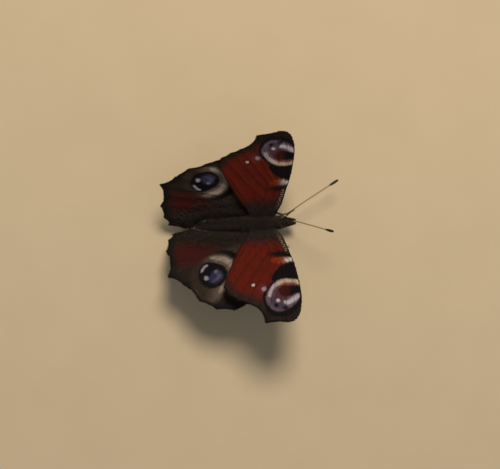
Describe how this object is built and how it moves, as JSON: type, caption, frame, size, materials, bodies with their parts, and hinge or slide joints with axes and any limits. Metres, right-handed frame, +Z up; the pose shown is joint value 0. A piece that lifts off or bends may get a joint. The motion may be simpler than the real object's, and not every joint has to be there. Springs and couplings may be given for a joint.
{
  "type": "peacock butterfly",
  "caption": "Life-size peacock butterfly standing at rest with its wings half open in a V, rust-red with an eyespot on every wing.",
  "frame": {"origin": "on the floor, under the centre of the bounding box", "axes": "+X towards the head and feelers, +Y to the animal's left wings, +Z up"},
  "size_m": [0.0444, 0.046, 0.0281],
  "materials": {
    "fur": "matt, short brown-black fur",
    "horn": "satin horn",
    "eye": "glossy, finely faceted",
    "leg": "matt, finely scaled",
    "feeler": "matt, finely scaled",
    "wing": "matt powdery scales"
  },
  "bodies": {
    "root": {"thorax": "fur", "abdomen": "fur", "head": "fur", "eye_left": "eye", "eye_right": "eye", "palp_left": "fur", "palp_right": "fur", "tongue": "horn", "antenna_left": "feeler", "antenna_right": "feeler", "foreleg_left": "leg", "foreleg_right": "leg", "mid_leg_left": "leg", "mid_leg_right": "leg", "hind_leg_left": "leg", "hind_leg_right": "leg", "forewing_left": "wing", "forewing_right": "wing", "hindwing_left": "wing", "hindwing_right": "wing"}
  },
  "joints": []
}
